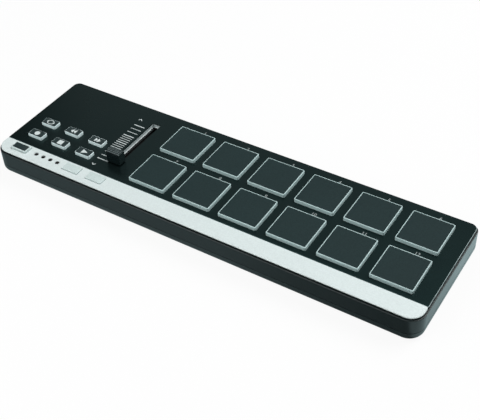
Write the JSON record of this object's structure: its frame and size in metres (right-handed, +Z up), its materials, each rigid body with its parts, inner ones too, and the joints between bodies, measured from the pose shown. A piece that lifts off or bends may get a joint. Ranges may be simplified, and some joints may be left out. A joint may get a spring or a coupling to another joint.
{
  "type": "midi pad controller",
  "caption": "Slim desktop music controller: a grid of square pressure pads, transport buttons and a short slide fader in a flat black case with a silver front strip.",
  "frame": {"origin": "on the table plane under the feet, below the middle of the case", "axes": "+X along the case to the player's right, +Y away from the player to the back edge, +Z up out of the pads"},
  "size_m": [0.3348, 0.096, 0.0312],
  "materials": {
    "case_plastic": "moulded black plastic with a fine satin texture",
    "panel_plastic": "smooth black top plate, low sheen",
    "silver_plastic": "silver satin coat with a very fine grain",
    "foot_rubber": "matte black rubber",
    "screw_steel": "zinc plated steel",
    "circuit_board": "green solder mask",
    "sensor_film": "clear film with printed carbon cells",
    "chip_plastic": "moulded black epoxy",
    "capacitor_can": "bare aluminium can",
    "switch_plastic": "black moulded plastic",
    "plunger_plastic": "dark grey moulded plastic",
    "lamp_lens": "dark red tinted lens, unlit",
    "socket_metal": "plated steel shell",
    "socket_plastic": "black moulded plastic",
    "liner_plastic": "light grey moulded plastic",
    "frame_metal": "folded tinned steel",
    "track_plastic": "phenolic strip with a carbon track",
    "carriage_plastic": "black acetal",
    "fader_cap_plastic": "black plastic, ribbed grip",
    "button_plastic": "pale grey translucent plastic",
    "face_film": "dark printed face",
    "key_plastic": "silver satin coat",
    "pad_silicone": "pale grey translucent silicone",
    "pad_skin": "charcoal silicone skin, matte"
  },
  "bodies": {
    "case": {"upper_case": "case_plastic", "lower_case": "case_plastic", "top_panel": "panel_plastic", "silver_strip": "silver_plastic", "feet": "foot_rubber", "case_screws": "screw_steel", "main_board": "circuit_board", "sensor_sheet": "sensor_film", "board_chips": "chip_plastic", "capacitors": "capacitor_can", "push_switches": "switch_plastic", "switch_plungers": "plunger_plastic", "indicator_lamps": "lamp_lens", "usb_socket": "socket_metal", "usb_insulator": "socket_plastic", "fader_liner": "liner_plastic", "fader_frame": "frame_metal", "fader_track": "track_plastic"},
    "pad_1": {"pad_1": "pad_silicone", "pad_1_top": "pad_skin"},
    "pad_2": {"pad_2": "pad_silicone", "pad_2_top": "pad_skin"},
    "pad_3": {"pad_3": "pad_silicone", "pad_3_top": "pad_skin"},
    "pad_4": {"pad_4": "pad_silicone", "pad_4_top": "pad_skin"},
    "pad_5": {"pad_5": "pad_silicone", "pad_5_top": "pad_skin"},
    "pad_6": {"pad_6": "pad_silicone", "pad_6_top": "pad_skin"},
    "pad_7": {"pad_7": "pad_silicone", "pad_7_top": "pad_skin"},
    "pad_8": {"pad_8": "pad_silicone", "pad_8_top": "pad_skin"},
    "pad_9": {"pad_9": "pad_silicone", "pad_9_top": "pad_skin"},
    "pad_10": {"pad_10": "pad_silicone", "pad_10_top": "pad_skin"},
    "pad_11": {"pad_11": "pad_silicone", "pad_11_top": "pad_skin"},
    "pad_12": {"pad_12": "pad_silicone", "pad_12_top": "pad_skin"},
    "loop_button": {"loop_button": "button_plastic", "loop_button_face": "face_film"},
    "rewind_button": {"rewind_button": "button_plastic", "rewind_button_face": "face_film"},
    "forward_button": {"forward_button": "button_plastic", "forward_button_face": "face_film"},
    "record_button": {"record_button": "button_plastic", "record_button_face": "face_film"},
    "stop_button": {"stop_button": "button_plastic", "stop_button_face": "face_film"},
    "play_button": {"play_button": "button_plastic", "play_button_face": "face_film"},
    "scene_key": {"scene_key": "key_plastic", "scene_key_face": "face_film"},
    "left_key": {"left_key": "key_plastic"},
    "right_key": {"right_key": "key_plastic"},
    "fader_slider": {"fader_carriage": "carriage_plastic", "fader_cap": "fader_cap_plastic"}
  },
  "joints": [
    {"name": "pad_1_press", "type": "slide", "parent": "case", "child": "pad_1", "axis": [0, 0, -1], "range_m": [0, 0.001], "stiffness_N_per_m": 800, "springref_m": -0.0005},
    {"name": "pad_2_press", "type": "slide", "parent": "case", "child": "pad_2", "axis": [0, 0, -1], "range_m": [0, 0.001], "stiffness_N_per_m": 800, "springref_m": -0.0005},
    {"name": "pad_3_press", "type": "slide", "parent": "case", "child": "pad_3", "axis": [0, 0, -1], "range_m": [0, 0.001], "stiffness_N_per_m": 800, "springref_m": -0.0005},
    {"name": "pad_4_press", "type": "slide", "parent": "case", "child": "pad_4", "axis": [0, 0, -1], "range_m": [0, 0.001], "stiffness_N_per_m": 800, "springref_m": -0.0005},
    {"name": "pad_5_press", "type": "slide", "parent": "case", "child": "pad_5", "axis": [0, 0, -1], "range_m": [0, 0.001], "stiffness_N_per_m": 800, "springref_m": -0.0005},
    {"name": "pad_6_press", "type": "slide", "parent": "case", "child": "pad_6", "axis": [0, 0, -1], "range_m": [0, 0.001], "stiffness_N_per_m": 800, "springref_m": -0.0005},
    {"name": "pad_7_press", "type": "slide", "parent": "case", "child": "pad_7", "axis": [0, 0, -1], "range_m": [0, 0.001], "stiffness_N_per_m": 800, "springref_m": -0.0005},
    {"name": "pad_8_press", "type": "slide", "parent": "case", "child": "pad_8", "axis": [0, 0, -1], "range_m": [0, 0.001], "stiffness_N_per_m": 800, "springref_m": -0.0005},
    {"name": "pad_9_press", "type": "slide", "parent": "case", "child": "pad_9", "axis": [0, 0, -1], "range_m": [0, 0.001], "stiffness_N_per_m": 800, "springref_m": -0.0005},
    {"name": "pad_10_press", "type": "slide", "parent": "case", "child": "pad_10", "axis": [0, 0, -1], "range_m": [0, 0.001], "stiffness_N_per_m": 800, "springref_m": -0.0005},
    {"name": "pad_11_press", "type": "slide", "parent": "case", "child": "pad_11", "axis": [0, 0, -1], "range_m": [0, 0.001], "stiffness_N_per_m": 800, "springref_m": -0.0005},
    {"name": "pad_12_press", "type": "slide", "parent": "case", "child": "pad_12", "axis": [0, 0, -1], "range_m": [0, 0.001], "stiffness_N_per_m": 800, "springref_m": -0.0005},
    {"name": "loop_button_press", "type": "slide", "parent": "case", "child": "loop_button", "axis": [0, 0, -1], "range_m": [0, 0.0005], "stiffness_N_per_m": 500, "springref_m": -0.0004},
    {"name": "rewind_button_press", "type": "slide", "parent": "case", "child": "rewind_button", "axis": [0, 0, -1], "range_m": [0, 0.0005], "stiffness_N_per_m": 500, "springref_m": -0.0004},
    {"name": "forward_button_press", "type": "slide", "parent": "case", "child": "forward_button", "axis": [0, 0, -1], "range_m": [0, 0.0005], "stiffness_N_per_m": 500, "springref_m": -0.0004},
    {"name": "record_button_press", "type": "slide", "parent": "case", "child": "record_button", "axis": [0, 0, -1], "range_m": [0, 0.0005], "stiffness_N_per_m": 500, "springref_m": -0.0004},
    {"name": "stop_button_press", "type": "slide", "parent": "case", "child": "stop_button", "axis": [0, 0, -1], "range_m": [0, 0.0005], "stiffness_N_per_m": 500, "springref_m": -0.0004},
    {"name": "play_button_press", "type": "slide", "parent": "case", "child": "play_button", "axis": [0, 0, -1], "range_m": [0, 0.0005], "stiffness_N_per_m": 500, "springref_m": -0.0004},
    {"name": "scene_key_press", "type": "slide", "parent": "case", "child": "scene_key", "axis": [0, 0, -1], "range_m": [0, 0.0005], "stiffness_N_per_m": 500, "springref_m": -0.0004},
    {"name": "left_key_press", "type": "slide", "parent": "case", "child": "left_key", "axis": [0, 0, -1], "range_m": [0, 0.0005], "stiffness_N_per_m": 500, "springref_m": -0.0004},
    {"name": "right_key_press", "type": "slide", "parent": "case", "child": "right_key", "axis": [0, 0, -1], "range_m": [0, 0.0005], "stiffness_N_per_m": 500, "springref_m": -0.0004},
    {"name": "fader_slide", "type": "slide", "parent": "case", "child": "fader_slider", "axis": [0, 1, 0], "range_m": [0, 0.045]}
  ]
}
